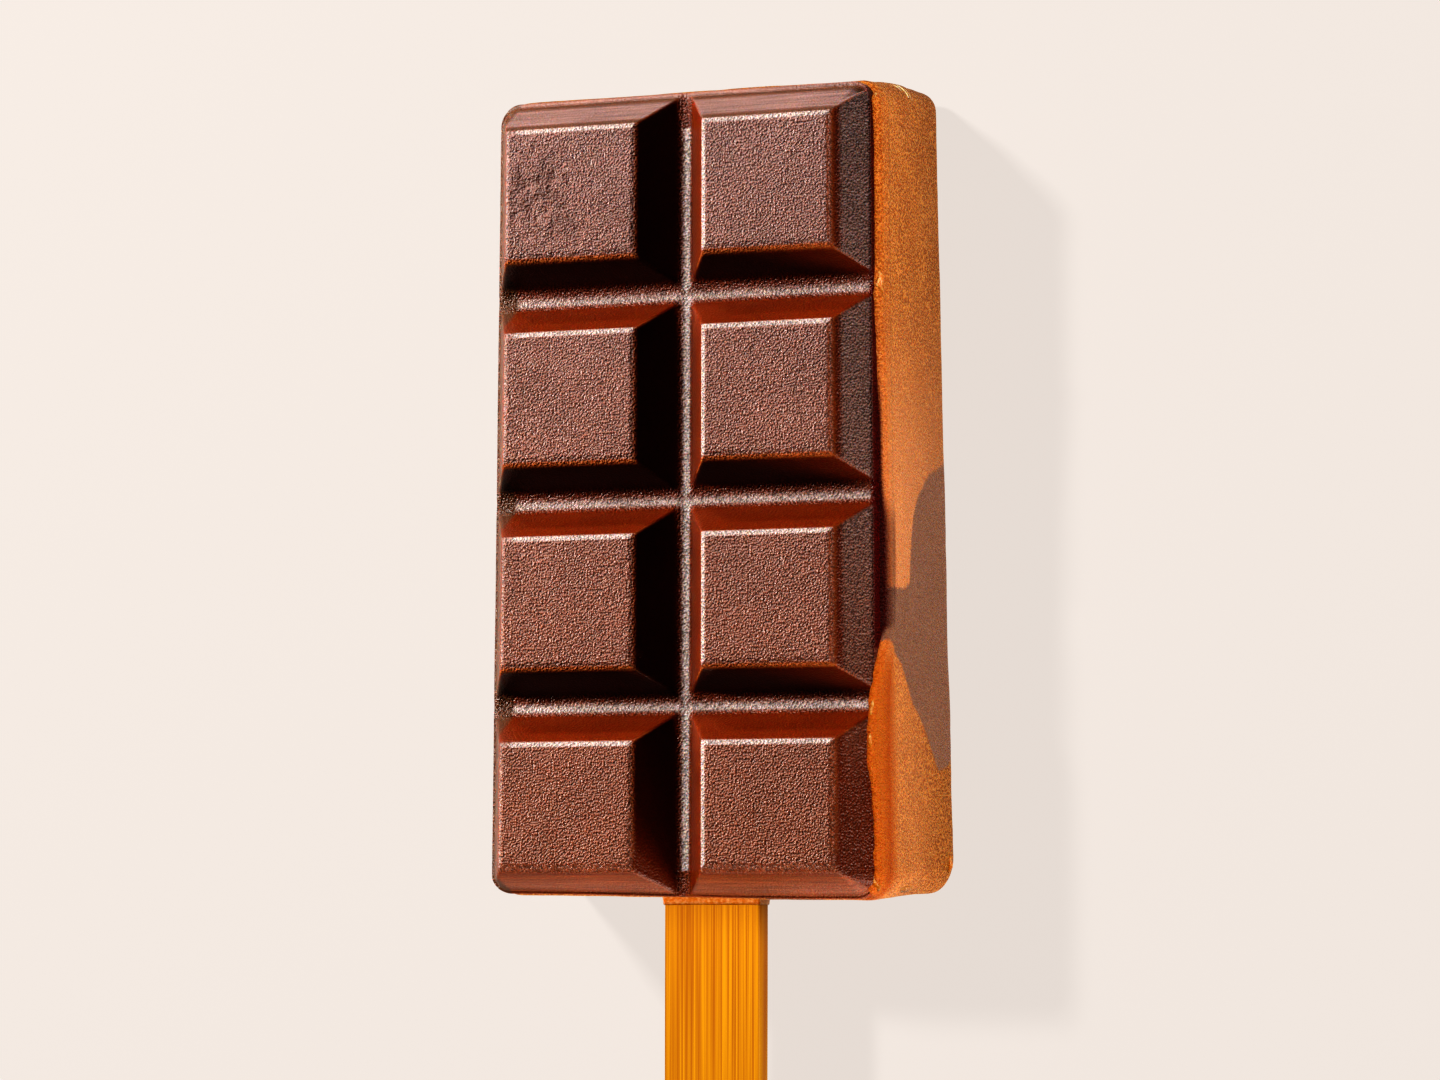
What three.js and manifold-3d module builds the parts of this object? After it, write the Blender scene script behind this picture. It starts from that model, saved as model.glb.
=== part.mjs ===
// Chocolate lollipop in millimetres, lying on its back with the moulded face up.
// X runs across the bar, Y along it from the stick's end to the bar's top, and Z up from the surface.
// The origin is the middle of the bounding box, on the surface that the bar lies on.
import * as THREE from "three";
import { mergeVertices } from "three/addons/utils/BufferGeometryUtils.js";
import Module from "manifold-3d";

const wasm = await Module();
wasm.setup();

// Moulded chocolate face: segments in columns across X and rows along Y
const columns = 2;
const rows = 4;
const segmentPitchX = 19.8;
const segmentPitchY = 18.6;
const reliefHeight = 4.45; // from a groove's bottom to a segment's top
const grooveToEdge = 3.55; // from a groove's centre line to the edge of a segment's top
const grooveRadius = 1.1; // round bottom of a groove
const segmentEdgeRadius = 0.6; // round edge of a segment's top
const sideRim = { slope: 2.6, ledge: 0.3 }; // outer slope and the flat strip beyond it
const topRim = { slope: 2.9, ledge: 0.4 };
const footRim = { slope: 2.0, ledge: 0.3 };
const plateThickness = 1.0; // chocolate under the grooves
const plateCornerRadius = 2.4;

// Caramel body under the chocolate
const bodyDepth = 16.0;
const bodyProud = 0.3; // how far the caramel stands out beyond the chocolate
const footProud = 0.15;
const bodyCornerRadius = 2.6;
const backEdgeRadius = 2.6;
const frontEdgeRadius = 0.8;
const footDraft = 1.4; // how far the foot leans in, from the chocolate down to the back
const topBulge = 0.5; // the top end bows out by this much
const sideDraft = 0.2; // each side leans in by this much
const frontTaper = 0.3; // half width lost at the bar's top and gained at its foot
const backTaper = 0.8; // the same along the back

// Lip of caramel that has run up over the chocolate's right edge
const lipRadius = 0.42;
const lipStandOff = 0.2; // from the chocolate's slope to the middle of the lip
const lipGap = 0.3; // clearance between the lip and the chocolate
const lipRootDepth = 0.8; // how far down into the body the lip starts
const lipEndInset = 0.9; // from each end of the body to the lip's end
const lipLowest = -1.0; // height of the lip's nose over the groove level where it is sunk in the body
const lipUpperRun = { from: -4, to: 14, rise: 1.1 }; // it comes up along the upper segments
const lipLowerRun = { from: -12.3, to: -17, rise: 1.5 }; // and again over the lowest one
const lipBumps = [
  { at: segmentPitchY, width: 1.2, rise: 0.6 }, // at the first groove's end
  { at: -segmentPitchY - 1.4, width: 2.2, rise: 0.9 }, // at the last groove's end
  { at: 36.4, width: 1.0, rise: 0.5 }, // at the top corner
  { at: -35.3, width: 1.0, rise: 0.6 }, // at the foot corner
];

// Flat wooden stick
const stickWidth = 9.6;
const stickThickness = 2.0;
const stickLength = 114.0;
const stickEmbedded = 50.0;
const stickEdgeRadius = 0.35;
const stickHeight = 10.0; // centre of the stick above the surface
const slotGap = 0.3;
const collarThickness = 0.25; // thin edge of the caramel that has crept round the stick
const collarReach = 0.8; // and its reach where it leaves the body
const collarLength = 0.2; // beyond the body's foot
const collarRoot = 1.4; // and back from it, where the foot leans in

const cutterOverrun = 1.0; // how far a cutting or joining solid runs past its partner's faces

// Worked out from the dimensions above, with Y measured from the middle groove
const plateHalfX = (columns / 2) * segmentPitchX - grooveToEdge + sideRim.slope + sideRim.ledge;
const plateTop = (rows / 2) * segmentPitchY - grooveToEdge + topRim.slope + topRim.ledge;
const plateFoot = -((rows / 2) * segmentPitchY - grooveToEdge + footRim.slope + footRim.ledge);
const bodyHalfX = plateHalfX + bodyProud;
const bodyTop = plateTop + bodyProud;
const bodyFoot = plateFoot - footProud;
const stickEnd = bodyFoot + stickEmbedded - stickLength;
const middleGrooveY = -(bodyTop + topBulge + stickEnd) / 2;
const grooveLevel = bodyDepth + plateThickness;
const grooveSlopeAngle =
  Math.atan2(reliefHeight - grooveRadius, grooveToEdge) +
  Math.asin(grooveRadius / Math.hypot(grooveToEdge, reliefHeight - grooveRadius));

const chocolate = new THREE.MeshStandardMaterial({ color: 0x4a2014, roughness: 0.45, metalness: 0 });
const caramel = new THREE.MeshStandardMaterial({ color: 0xbf6a2c, roughness: 0.6, metalness: 0 });
const wood = new THREE.MeshStandardMaterial({ color: 0xe58a10, roughness: 0.5, metalness: 0 });

// A rise from 0 at one place to 1 at another, and a bump of height 1 around a place
const rising = (from, to, value) =>
  from < to ? THREE.MathUtils.smoothstep(value, from, to) : 1 - THREE.MathUtils.smoothstep(value, to, from);
const bump = (at, width, value) => Math.exp(-(((value - at) / width) ** 2));

// Narrows the bar towards its top
function tapered(x, y, loss = frontTaper) {
  return x * (1 - (loss / bodyHalfX) * (y / bodyTop));
}

// A closed geometry as a solid for cutting and joining
function solidOf(geometry) {
  const bare = geometry.index ? geometry.toNonIndexed() : geometry.clone();
  bare.deleteAttribute("normal");
  bare.deleteAttribute("uv");
  const merged = mergeVertices(bare, 1e-4);
  const vertProperties = new Float32Array(merged.attributes.position.array);
  const triVerts = new Uint32Array(merged.index.array);
  return new wasm.Manifold(new wasm.Mesh({ numProp: 3, vertProperties, triVerts }));
}

function geometryOf(solid) {
  const { vertProperties, triVerts } = solid.getMesh();
  const geometry = new THREE.BufferGeometry();
  geometry.setAttribute("position", new THREE.BufferAttribute(new Float32Array(vertProperties), 3));
  geometry.setIndex(new THREE.BufferAttribute(new Uint32Array(triVerts), 1));
  geometry.computeVertexNormals();
  return geometry;
}

// Closed skin over a stack of rings that all have the same number of points.
// Rings turn anticlockwise seen from the far end of the stack.
function stackRings(rings) {
  const count = rings[0].length;
  const middle = (ring) =>
    ring.reduce((sum, p) => sum.map((v, k) => v + p[k] / count), [0, 0, 0]);
  const points = [...rings.flat(), middle(rings[0]), middle(rings[rings.length - 1])];
  const firstMiddle = rings.length * count;
  const lastRing = (rings.length - 1) * count;
  const index = [];
  for (let i = 0; i < count; i++) {
    const next = (i + 1) % count;
    for (let r = 0; r + 1 < rings.length; r++) {
      const low = r * count;
      const high = low + count;
      index.push(low + i, low + next, high + next, low + i, high + next, high + i);
    }
    index.push(firstMiddle, next, i);
    index.push(firstMiddle + 1, lastRing + i, lastRing + next);
  }
  const geometry = new THREE.BufferGeometry();
  geometry.setAttribute("position", new THREE.Float32BufferAttribute(points.flat(), 3));
  geometry.setIndex(index);
  return geometry;
}

// Rounded rectangle as points, anticlockwise, between two x and two y values
function roundedOutline(left, right, low, high, radius, steps) {
  const shape = new THREE.Shape();
  shape.absarc(right - radius, low + radius, radius, -Math.PI / 2, 0, false);
  shape.absarc(right - radius, high - radius, radius, 0, Math.PI / 2, false);
  shape.absarc(left + radius, high - radius, radius, Math.PI / 2, Math.PI, false);
  shape.absarc(left + radius, low + radius, radius, Math.PI, 1.5 * Math.PI, false);
  const points = [];
  for (const curve of shape.curves.filter((c) => c.isEllipseCurve)) {
    points.push(...curve.getPoints(steps));
  }
  return points;
}

// Height of the moulded face along one axis, from rim to rim, as a list of [position, height]
function mouldProfile(count, pitch, startRim, endRim) {
  const edgeSteps = 3;
  const grooveSteps = 6;
  // Round from a slope up onto a segment's top, for an edge at zero with the slope on its left
  const roundedEdge = (angle) => {
    const reach = segmentEdgeRadius * Math.tan(angle / 2);
    return Array.from({ length: edgeSteps + 1 }, (_, i) => {
      const turn = angle * (1 - i / edgeSteps);
      const across = reach - segmentEdgeRadius * Math.sin(turn);
      return [across, reliefHeight - segmentEdgeRadius * (1 - Math.cos(turn))];
    });
  };
  const mirrored = (list) => list.map(([at, height]) => [-at, height]).reverse();
  const moved = (list, by) => list.map(([at, height]) => [at + by, height]);
  const groove = Array.from({ length: grooveSteps + 1 }, (_, i) => {
    const turn = grooveSlopeAngle * ((2 * i) / grooveSteps - 1);
    return [grooveRadius * Math.sin(turn), grooveRadius * (1 - Math.cos(turn))];
  });
  const rimProfile = ({ slope, ledge }) => {
    const edge = -((count / 2) * pitch - grooveToEdge);
    const foot = edge - slope;
    const round = moved(roundedEdge(Math.atan2(reliefHeight, slope)), edge);
    return [[foot - ledge - cutterOverrun, 0], [foot, 0], ...round];
  };
  const profile = rimProfile(startRim);
  for (let i = 1; i < count; i++) {
    const centre = (i - count / 2) * pitch;
    profile.push(...moved(mirrored(roundedEdge(grooveSlopeAngle)), centre - grooveToEdge));
    profile.push(...moved(groove, centre));
    profile.push(...moved(roundedEdge(grooveSlopeAngle), centre + grooveToEdge));
  }
  return [...profile, ...mirrored(rimProfile(endRim))];
}

// The moulded face is the lower of its two profiles, which mitres the segments' corners.
function mouldedBlock() {
  const across = mouldProfile(columns, segmentPitchX, sideRim, sideRim);
  const along = mouldProfile(rows, segmentPitchY, footRim, topRim);
  const nx = across.length;
  const ny = along.length;
  const points = [];
  for (const [y, heightAlong] of along) {
    for (const [x, heightAcross] of across) {
      points.push(tapered(x, y), y, grooveLevel + Math.min(heightAcross, heightAlong));
    }
  }
  const index = [];
  const at = (i, j) => j * nx + i;
  const heightAt = (vertex) => points[3 * vertex + 2];
  for (let j = 0; j + 1 < ny; j++) {
    for (let i = 0; i + 1 < nx; i++) {
      const [a, b, c, d] = [at(i, j), at(i + 1, j), at(i + 1, j + 1), at(i, j + 1)];
      const hipAlongAC = Math.abs(heightAt(a) - heightAt(c)) >= Math.abs(heightAt(b) - heightAt(d));
      index.push(...(hipAlongAC ? [a, b, c, a, c, d] : [a, b, d, b, c, d]));
    }
  }
  const border = [];
  for (let i = 0; i < nx - 1; i++) border.push(at(i, 0));
  for (let j = 0; j < ny - 1; j++) border.push(at(nx - 1, j));
  for (let i = nx - 1; i > 0; i--) border.push(at(i, ny - 1));
  for (let j = ny - 1; j > 0; j--) border.push(at(0, j));
  const firstLow = nx * ny;
  for (const vertex of border) points.push(points[3 * vertex], points[3 * vertex + 1], bodyDepth);
  const lowMiddle = firstLow + border.length;
  points.push(0, 0, bodyDepth);
  border.forEach((vertex, k) => {
    const next = (k + 1) % border.length;
    index.push(vertex, firstLow + k, firstLow + next, vertex, firstLow + next, border[next]);
    index.push(firstLow + next, firstLow + k, lowMiddle);
  });
  const geometry = new THREE.BufferGeometry();
  geometry.setAttribute("position", new THREE.Float32BufferAttribute(points, 3));
  geometry.setIndex(index);
  return geometry;
}

// Upright slab with the chocolate's rounded outline
function plateOutline() {
  const steps = 8;
  const outline = roundedOutline(-plateHalfX, plateHalfX, plateFoot, plateTop, plateCornerRadius, steps);
  const levels = [bodyDepth - cutterOverrun, grooveLevel + reliefHeight + cutterOverrun];
  return stackRings(levels.map((z) => outline.map((p) => [tapered(p.x, p.y), p.y, z])));
}

// How far a round edge draws the side in, at a height above the round's start
function roundInset(radius, height) {
  const rest = Math.max(0, 1 - height / radius);
  return radius * (1 - Math.sqrt(1 - rest * rest));
}

// The caramel body is a stack of rounded outlines that lean in and round off towards the back.
function bodyBlock() {
  const roundSteps = 6;
  const cornerSteps = 6;
  const middleSteps = 3;
  const smallestCorner = 0.4;
  const roundTurns = Array.from({ length: roundSteps + 1 }, (_, i) => ((Math.PI / 2) * i) / roundSteps);
  const levelsOfRound = (radius) => roundTurns.map((turn) => radius * (1 - Math.cos(turn)));
  const backLevels = levelsOfRound(backEdgeRadius);
  const frontLevels = levelsOfRound(frontEdgeRadius).map((z) => bodyDepth - z);
  const middleLevels = Array.from({ length: middleSteps }, (_, i) =>
    THREE.MathUtils.lerp(backEdgeRadius, bodyDepth - frontEdgeRadius, (i + 1) / (middleSteps + 1)),
  );
  const rings = [...backLevels, ...middleLevels, ...frontLevels.reverse()].map((z) => {
    const lean = 1 - z / bodyDepth;
    const inset = roundInset(backEdgeRadius, z) + roundInset(frontEdgeRadius, bodyDepth - z);
    const radius = Math.max(smallestCorner, bodyCornerRadius - inset);
    const halfX = bodyHalfX - inset - sideDraft * lean;
    const low = bodyFoot + inset + footDraft * lean;
    const high = bodyTop - inset + topBulge * Math.sin(Math.PI * lean);
    const loss = THREE.MathUtils.lerp(frontTaper, backTaper, lean);
    const outline = roundedOutline(-halfX, halfX, low, high, radius, cornerSteps);
    return outline.map((p) => [tapered(p.x, p.y, loss), p.y, z]);
  });
  return stackRings(rings);
}

// Height of the lip's nose above the groove level at a place along the right edge
function lipHeight(y) {
  let height = lipLowest;
  for (const { from, to, rise } of [lipUpperRun, lipLowerRun]) height += rise * rising(from, to, y);
  for (const { at, width, rise } of lipBumps) height += rise * bump(at, width, y);
  return height;
}

// The lip's section is a flat bar with round ends that lies along the chocolate's outer slope.
function lip(grow) {
  const stations = 64;
  const noseSteps = 6;
  const endSharpness = 16; // a higher power keeps the lip's full thickness closer to its ends
  const endThickness = 0.985; // 1 would taper the ends to nothing
  const start = bodyFoot + lipEndInset;
  const end = bodyTop - lipEndInset;
  const footX = plateHalfX - sideRim.ledge + lipStandOff;
  const rings = Array.from({ length: stations + 1 }, (_, s) => {
    const y = start + ((end - start) * s) / stations;
    const height = lipHeight(y);
    const nose = [footX - (Math.max(0, height) * sideRim.slope) / reliefHeight, grooveLevel + height];
    const root = [footX, bodyDepth - lipRootDepth];
    const lean = Math.atan2(nose[1] - root[1], nose[0] - root[0]);
    const rounding = Math.sqrt(1 - (endThickness * ((2 * s) / stations - 1)) ** endSharpness);
    const radius = lipRadius * rounding + grow;
    return [nose, root].flatMap(([x, z], i) =>
      Array.from({ length: noseSteps }, (_, k) => {
        const turn = lean + Math.PI * (0.5 - k / (noseSteps - 1) - i);
        return [tapered(x + radius * Math.cos(turn), y), y, z + radius * Math.sin(turn)];
      }),
    );
  });
  return stackRings(rings);
}

// Stick seen from above: straight sides and two round ends, from its buried end to its free end
function stickOutline(grow) {
  const radius = stickWidth / 2;
  const buried = bodyFoot + stickEmbedded - radius;
  const free = stickEnd + radius;
  const shape = new THREE.Shape();
  shape.absarc(0, buried, radius + grow, 0, Math.PI, false);
  shape.absarc(0, free, radius + grow, Math.PI, 2 * Math.PI, false);
  return shape;
}

function stickGeometry() {
  const geometry = new THREE.ExtrudeGeometry(stickOutline(-stickEdgeRadius), {
    depth: stickThickness - 2 * stickEdgeRadius,
    bevelEnabled: true,
    bevelThickness: stickEdgeRadius,
    bevelSize: stickEdgeRadius,
    bevelSegments: 3,
    curveSegments: 20,
  });
  return geometry.translate(0, 0, stickHeight - stickThickness / 2 + stickEdgeRadius);
}

function stickSlot() {
  const depth = stickThickness + 2 * slotGap;
  const options = { depth, bevelEnabled: false, curveSegments: 12 };
  return new THREE.ExtrudeGeometry(stickOutline(slotGap), options).translate(0, 0, stickHeight - depth / 2);
}

// Caramel that has crept a little way down the stick, thinner the further out it is
function stickCollar() {
  const steps = 4;
  const cornerSteps = 4;
  const buried = 1.6; // extra length inside the body
  const section = (reach, y) => {
    const halfX = stickWidth / 2 + reach;
    const halfZ = stickThickness / 2 + reach;
    const outline = roundedOutline(-halfX, halfX, -halfZ, halfZ, reach, cornerSteps);
    return outline.map((p) => [p.x, y, stickHeight + p.y]);
  };
  const thinnest = slotGap + collarThickness;
  const rings = [section(collarReach + slotGap, bodyFoot + collarRoot + buried)];
  for (let i = 0; i <= steps; i++) {
    const reach = thinnest + (collarReach + slotGap - thinnest) * (1 - Math.sin(((Math.PI / 2) * i) / steps));
    rings.push(section(reach, bodyFoot + collarRoot - ((collarRoot + collarLength) * i) / steps));
  }
  return stackRings(rings);
}

function named(name, geometry, material) {
  const mesh = new THREE.Mesh(geometry, material);
  mesh.name = name;
  mesh.position.y = middleGrooveY;
  return mesh;
}

const plateSolid = solidOf(mouldedBlock())
  .intersect(solidOf(plateOutline()))
  .subtract(solidOf(lip(lipGap)));
const bodySolid = solidOf(bodyBlock())
  .add(solidOf(lip(0)))
  .add(solidOf(stickCollar()))
  .subtract(solidOf(stickSlot()));

const lollipop = new THREE.Group();
lollipop.add(named("chocolate_plate", geometryOf(plateSolid), chocolate));
lollipop.add(named("caramel_body", geometryOf(bodySolid), caramel));
lollipop.add(named("stick", stickGeometry(), wood));

export default lollipop;
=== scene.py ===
import itertools
import math
import bpy
import numpy as np
from mathutils import Matrix, Vector
from mathutils.bvhtree import BVHTree


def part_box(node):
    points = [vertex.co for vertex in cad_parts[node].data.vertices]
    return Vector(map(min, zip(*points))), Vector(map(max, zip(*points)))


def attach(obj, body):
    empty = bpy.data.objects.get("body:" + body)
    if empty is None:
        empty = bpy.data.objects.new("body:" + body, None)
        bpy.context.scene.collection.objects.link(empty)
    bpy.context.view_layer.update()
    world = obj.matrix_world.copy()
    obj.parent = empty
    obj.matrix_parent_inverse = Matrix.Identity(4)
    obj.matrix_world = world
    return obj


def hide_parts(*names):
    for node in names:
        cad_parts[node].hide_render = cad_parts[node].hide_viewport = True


# Chocolate lollipop: a moulded chocolate face on a caramel body, with a flat wooden stick.
# It lies on its back. Shapes are worked out in millimetres, with X across the bar, Y up along it
# from the middle groove crossing, and Z up from the surface that it lies on.
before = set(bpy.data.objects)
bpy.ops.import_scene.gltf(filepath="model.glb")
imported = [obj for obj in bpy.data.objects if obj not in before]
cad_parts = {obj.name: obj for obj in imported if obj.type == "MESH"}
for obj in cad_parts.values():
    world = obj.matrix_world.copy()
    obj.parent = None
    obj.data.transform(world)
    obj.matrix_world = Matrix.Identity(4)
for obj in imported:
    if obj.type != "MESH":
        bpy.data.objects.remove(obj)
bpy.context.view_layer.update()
mm = 0.001
plateLow, plateHigh = (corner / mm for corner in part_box("chocolate_plate"))
bodyLow, bodyHigh = (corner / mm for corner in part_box("caramel_body"))
stickLow, stickHigh = (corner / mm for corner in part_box("stick"))
print("frame loaded")

bar = {
    "columns": 2,
    "rows": 4,
    "pitchX": 19.8,
    "pitchY": 18.6,
    "relief": 4.45,  # from a groove's bottom to a segment's top
    "segmentsEnd": (16.25, 33.65),  # outer edges of the outer segments' tops, across and along
    "edgeLeftOfGroove": 3.15,  # from a groove's bottom to the top's edge of the segment beside it
    "edgeRightOfGroove": 3.65,
    "edgeBelowGroove": 3.55,
    "edgeAboveGroove": 3.05,
    "grooveRadius": (1.1, 1.45),  # of the upright groove and of those across
    "crispRadius": 0.65,  # edges towards the left and the top
    "softRadius": (0.7, 1.15),  # edges towards the right and towards the foot
    "sideSlope": 2.6,
    "topSlope": 2.9,
    "footSlope": 2.35,
    "sideLedge": 0.3,
    "topLedge": 0.4,
    "footLedge": 0.15,
    "cornerRadius": 2.1,
    "hipSoftness": 0.3,  # how far the corners between two slopes are rounded
}
body = {
    "proud": 0.3,  # how far the caramel stands out beyond the chocolate
    "footProud": 0.15,
    "footLift": 0.5,  # how much higher the foot's edge runs at the left
    "footNarrowing": 0.5,  # how much narrower the back gets at the foot's corners
    "cornerRadius": 2.6,
    "cornerTaper": 0.9,  # how much tighter the corners are at the back
    "backRadius": 2.6,
    "frontRadius": 0.8,
    "footDraft": 0.9,
    "topBulge": 0.75,
    "sideDraft": 0.2,
    "frontTaper": 0.3,
    "backTaper": 0.95,
}

# Lengths that follow from the dimensions and from the frame
grooveLevel = plateHigh.z - bar["relief"]
underside = plateLow.z
segmentsEndX, segmentsEndY = bar["segmentsEnd"]
plateHalfX = segmentsEndX + bar["sideSlope"] + bar["sideLedge"]
plateTop = segmentsEndY + bar["topSlope"] + bar["topLedge"]
plateFoot = -(segmentsEndY + bar["footSlope"] + bar["footLedge"])
crossingY = plateHigh.y - plateTop
bodyHalfX = plateHalfX + body["proud"]
bodyTop = plateTop + body["proud"]
bodyFoot = plateFoot - body["footProud"]


def tapered(x, y, loss):
    # narrows the bar towards its top
    return x * (1 - loss / bodyHalfX * y / bodyTop)


def smoothRise(start, end, value):
    part = np.clip((value - start) / (end - start), 0, 1)
    return part * part * (3 - 2 * part)


def footLift(x, y):
    # draws the foot's edge up towards the left
    return body["footLift"] * smoothRise(14, -19, x) * smoothRise(-segmentsEndY, -segmentsEndY - bar["footSlope"], y)


def softNoise(points, size, seed):
    # smooth hills between -1 and 1, about one size across; size may differ along each axis
    steps = 48
    heights = np.random.default_rng(seed).uniform(-1, 1, (steps, steps, steps))
    cell = points / np.asarray(size, float)
    low = np.floor(cell).astype(int)
    part = cell - low
    ease = part * part * (3 - 2 * part)
    total = np.zeros(points.shape[:-1])
    for corner in itertools.product((0, 1), repeat=3):
        weight = np.prod(np.where(corner, ease, 1 - ease), axis=-1)
        at = (low + corner) % steps
        total += weight * heights[at[..., 0], at[..., 1], at[..., 2]]
    return total


def roundCorners(x, y, left, right, low, high, radius):
    # draws the corner squares of a grid in to quarter discs, and gives each point's way outwards
    toRight, toLeft = x - (right - radius), (left + radius) - x
    toHigh, toLow = y - (high - radius), (low + radius) - y
    acrossX = np.maximum(np.maximum(toRight, toLeft), 0) / radius
    acrossY = np.maximum(np.maximum(toHigh, toLow), 0) / radius
    length = np.maximum(np.hypot(acrossX, acrossY), 1e-9)
    shrink = np.maximum(acrossX, acrossY) / length
    signX, signY = np.sign(x - (left + right) / 2), np.sign(y - (low + high) / 2)
    newX = np.where(acrossX > 0, np.where(toRight > 0, right - radius, left + radius)
                    + signX * acrossX * radius * shrink, x)
    newY = np.where(acrossY > 0, np.where(toHigh > 0, high - radius, low + radius)
                    + signY * acrossY * radius * shrink, y)
    return newX, newY, signX * acrossX / length, signY * acrossY / length


def spread(start, end, radius, cornerSteps, steps):
    # places along one side of a rounded outline: corner, straight run, corner
    turn = math.copysign(radius, end - start)
    return np.concatenate([
        np.linspace(start, start + turn, cornerSteps + 1)[:-1],
        np.linspace(start + turn, end - turn, steps + 1),
        np.linspace(end - turn, end, cornerSteps + 1)[1:],
    ])


def borderOf(grid):
    return np.concatenate([grid[0, :-1], grid[:-1, -1], grid[-1, :0:-1], grid[:0:-1, 0]])


def quadsOf(number):
    return np.stack([number[:-1, :-1], number[:-1, 1:], number[1:, 1:], number[1:, :-1]], axis=-1).reshape(-1, 4)


def addSkin(name, face, rings, farFace=None):
    # closed skin: a grid of points, rings that carry its border round the side, and the far face
    rows, columns = face.shape[:2]
    points = [face.reshape(-1, 3)]
    number = np.arange(rows * columns).reshape(rows, columns)
    quads = [quadsOf(number)]
    last = borderOf(number)
    count = rows * columns
    for ring in rings:
        points.append(ring)
        current = count + np.arange(len(ring))
        count += len(ring)
        quads.append(np.stack([last, current, np.roll(current, -1), np.roll(last, -1)], axis=-1))
        last = current
    if farFace is not None:
        inner = farFace[1:-1, 1:-1].reshape(-1, 3)
        points.append(inner)
        farNumber = np.empty((rows, columns), int)
        farNumber[1:-1, 1:-1] = count + np.arange(len(inner)).reshape(rows - 2, columns - 2)
        acrossSteps, alongSteps = columns - 1, rows - 1
        farNumber[0, :-1] = last[:acrossSteps]
        farNumber[:-1, -1] = last[acrossSteps:acrossSteps + alongSteps]
        farNumber[-1, :0:-1] = last[acrossSteps + alongSteps:2 * acrossSteps + alongSteps]
        farNumber[:0:-1, 0] = last[2 * acrossSteps + alongSteps:]
        quads.append(quadsOf(farNumber)[:, ::-1])
    faceList = np.concatenate(quads).tolist()
    if farFace is None:
        faceList.append(last[::-1].tolist())
    return addPiece(name, np.concatenate(points), faceList)


def addPiece(name, points, faces):
    mesh = bpy.data.meshes.new(name)
    mesh.from_pydata(((points + [0, crossingY, 0]) * mm).tolist(), [], faces)
    mesh.shade_smooth()
    piece = bpy.data.objects.new(name, mesh)
    bpy.context.scene.collection.objects.link(piece)
    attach(piece, "root")
    return piece


def storeValue(piece, name, values):
    # keeps one number for each vertex, for the materials to read
    layer = piece.data.attributes.new(name, "FLOAT", "POINT")
    layer.data.foreach_set("value", np.asarray(values, np.float32))


def barPoints(piece):
    # the piece's vertices in millimetres from the middle groove crossing
    points = np.empty(len(piece.data.vertices) * 3)
    piece.data.vertices.foreach_get("co", points)
    return points.reshape(-1, 3) / mm - [0, crossingY, 0]


# Chocolate plate
chocolate = {
    "gridStep": 0.15,
    "rightEdge": 18.74,  # the plate stops short of the caramel lip
    "undercut": 0.05,  # and leans in under its right edge
    "rimRadius": 0.22,
    "rightRim": 0.2,  # share of the rim's roundness that is left along the right edge
    "waviness": 0.03,
    "leather": 0.01,  # height of the fine skin texture
    "leatherSize": 0.3,
    "scuffHeight": 0.1,
    "scuffs": [  # centre x, centre y, radius, strength of each worn spot
        (-13.5, 28.5, 5.5, 0.9),
        (-10.5, 25.0, 4.2, 0.8),
        (11.5, 12.5, 3.4, 0.35),
        (12.6, 31.5, 1.6, 0.4),
    ],
    "levelRange": (0.62, 0.97),  # how level a face has to be to carry the pale bloom and painted sheen
    "rimRange": (0.5, 0.62),  # and how level to show the edges' painted warm glow
    "rightEdgeGlow": 0.5,
    "ledgeWarmth": (0.2, 0.6),  # of the ledge at the top and of the one at the foot
    "skin": {  # strength of the fine grain
        "slopes": 0.25, "rightSlope": 0.9,
    },
    "footSlopeGlow": 0.4,
    "paintedHighlight": {  # painted highlights and sheen, whitish: in the upright groove, in those across, on rims and on outer slopes
        "upright": 1.0, "across": 0.7, "rims": 0.85, "leftmostRims": 0.3, "topSlope": 0.05,
        "rightSlope": 0.17, "footSlope": 0.1, "ledges": 0.15,
    },
    "bloomAndSheen": {  # how strong the bloom and painted sheen are
        "tops": 0.72, "grooves": 0.3, "leftSlope": 0.25, "rightSlope": 0.75, "topSlope": 0.78,
    },
}


def flank(distance, edge, slopeAngle, radius):
    # height over the groove level of a slope that rounds over onto a segment's top
    reach = radius * math.tan(slopeAngle / 2)
    slope = bar["relief"] + (distance - edge) * math.tan(slopeAngle)
    fromCentre = np.clip(distance - (edge + reach), -radius, 0)
    rounded = bar["relief"] - radius + np.sqrt(radius**2 - fromCentre**2)
    onSlope = distance < edge - reach * math.cos(slopeAngle)
    return np.where(onSlope, slope, np.where(distance < edge + reach, rounded, bar["relief"]))


def grooveSide(away, grooveRadius, edge, radius):
    # height on one side of a groove: round bottom, slope, and roundness onto the top
    drop = bar["relief"] - grooveRadius
    angle = math.atan2(drop, edge) + math.asin(grooveRadius / math.hypot(edge, drop))
    bottom = grooveRadius - np.sqrt(np.maximum(grooveRadius**2 - away**2, 0))
    return np.where(away < grooveRadius * math.sin(angle), bottom, flank(away, edge, angle, radius))


def mouldProfile(at, count, pitch, end, grooveRadius, sides):
    # height of the moulded face along one axis; a side is its way, the outer slope's width, the
    # distance from a groove to the edges that look this way, and their roundness
    height = np.full(at.shape, bar["relief"])
    for way, slope, edge, radius in sides:
        for i in range(1, count):
            away = -way * (at - (i - count / 2) * pitch)
            height = np.minimum(height, np.where(away >= 0, grooveSide(np.abs(away), grooveRadius, edge, radius),
                                                 bar["relief"]))
        outer = flank(end + slope - way * at, slope, math.atan2(bar["relief"], slope), radius)
        height = np.minimum(height, np.maximum(outer, 0))
    return height


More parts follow.
